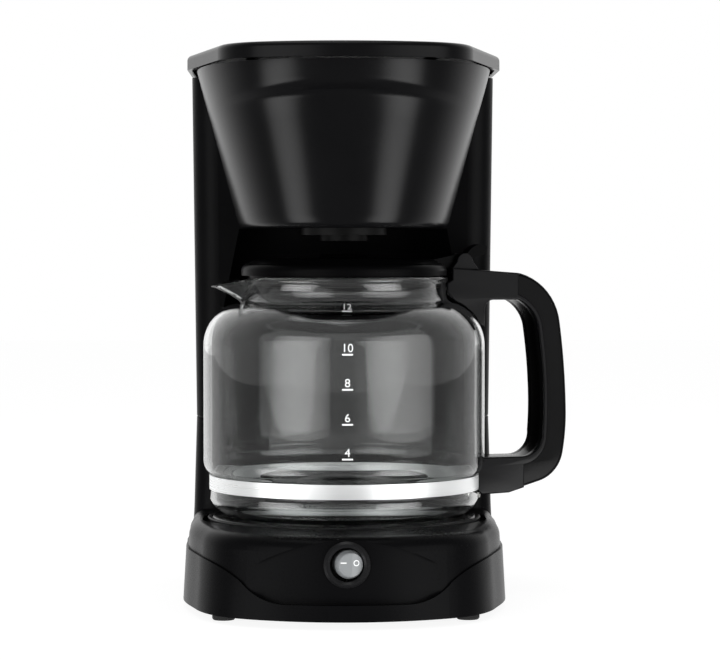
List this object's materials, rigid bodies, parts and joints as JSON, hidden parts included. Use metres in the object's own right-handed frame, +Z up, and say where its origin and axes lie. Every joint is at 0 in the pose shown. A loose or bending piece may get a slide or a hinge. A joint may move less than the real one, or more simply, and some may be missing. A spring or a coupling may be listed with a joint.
{
  "type": "drip coffee maker",
  "caption": "Drip coffee maker with a hinged top lid, slanted filter hopper over a glass carafe, warming plate, water tank in the rear column and a rocker switch in the base.",
  "frame": {"origin": "on the table, at the middle of the machine's own footprint, on its middle plane", "axes": "+X to the right as seen from the front, +Y to the back, +Z up"},
  "size_m": [0.2108, 0.2411, 0.296],
  "materials": {
    "shell_gloss": "gloss black",
    "underside_plastic": "matte black",
    "foot_rubber": "matte",
    "screw_steel": "zinc plated",
    "pin_steel": "drawn",
    "reservoir_plastic": "smoked",
    "plate_coating": "non-stick coating",
    "seal_rubber": "satin",
    "heater_aluminium": "as extruded",
    "clamp_steel": "plain",
    "fuse_sleeve": "woven sleeve",
    "hose_silicone": "translucent",
    "ball_plastic": "smooth",
    "riser_plastic": "smooth",
    "brew_plastic": "satin black",
    "spring_steel": "drawn wire",
    "bezel_plastic": "gloss black",
    "rocker_plastic": "satin grey",
    "inlet_rubber": "matte",
    "carafe_glass": "clear",
    "band_steel": "bright satin",
    "handle_plastic": "satin black"
  },
  "bodies": {
    "machine": {"base_shell": "shell_gloss", "riser_shell": "shell_gloss", "tower_shell": "shell_gloss", "hopper_shell": "shell_gloss", "base_bottom_plate": "underside_plastic", "switch_body": "underside_plastic", "rubber_feet": "foot_rubber", "bottom_screws": "screw_steel", "clamp_screw": "screw_steel", "rocker_pin": "pin_steel", "water_reservoir": "reservoir_plastic", "warming_plate": "plate_coating", "plate_seal_ring": "seal_rubber", "heater_block": "heater_aluminium", "thermostat": "heater_aluminium", "heater_clamp": "clamp_steel", "hose_clamps": "clamp_steel", "thermal_fuse": "fuse_sleeve", "inlet_hose": "hose_silicone", "outlet_hose": "hose_silicone", "riser_grommet": "hose_silicone", "check_ball": "ball_plastic", "riser_tube": "riser_plastic", "shower_head": "brew_plastic", "brew_basket": "brew_plastic", "valve_spring": "spring_steel", "switch_bezel": "bezel_plastic", "cord_inlet": "inlet_rubber"},
    "lid": {"top_lid": "shell_gloss", "lid_hinge_pins": "pin_steel"},
    "carafe": {"carafe_glass": "carafe_glass", "carafe_waist": "carafe_glass", "carafe_bottom": "carafe_glass", "carafe_band": "band_steel", "carafe_handle": "handle_plastic", "handle_screw": "screw_steel", "carafe_lid_pin": "handle_plastic"},
    "carafe_cover": {"carafe_lid": "handle_plastic"},
    "valve": {"drip_valve": "brew_plastic", "valve_seal": "seal_rubber"},
    "rocker": {"switch_rocker": "rocker_plastic"}
  },
  "joints": [
    {"name": "top_lid_hinge", "type": "hinge", "parent": "machine", "child": "lid", "pos_m": [0, 0.109, 0.291], "axis": [-1, 0, 0], "range_deg": [0, 100]},
    {"name": "carafe_slide", "type": "slide", "parent": "machine", "child": "carafe", "axis": [0, -1, 0], "range_m": [0, 0.28]},
    {"name": "carafe_lid_hinge", "type": "hinge", "parent": "carafe", "child": "carafe_cover", "pos_m": [0.06372, 0.0097, 0.184], "axis": [-0.309, 0.9511, 0], "range_deg": [0, 4.5]},
    {"name": "drip_valve_slide", "type": "slide", "parent": "machine", "child": "valve", "axis": [0, 0, -1], "range_m": [0, 0.004], "deforming": ["valve_spring"]},
    {"name": "switch_rock", "type": "hinge", "parent": "machine", "child": "rocker", "pos_m": [0, -0.11336, 0.0324], "axis": [0, 0, -1], "range_deg": [0, 14]}
  ],
  "couplings": [
    {"joint": "drip_valve_slide", "follows": "carafe_slide", "ratio": 0.014286}
  ]
}
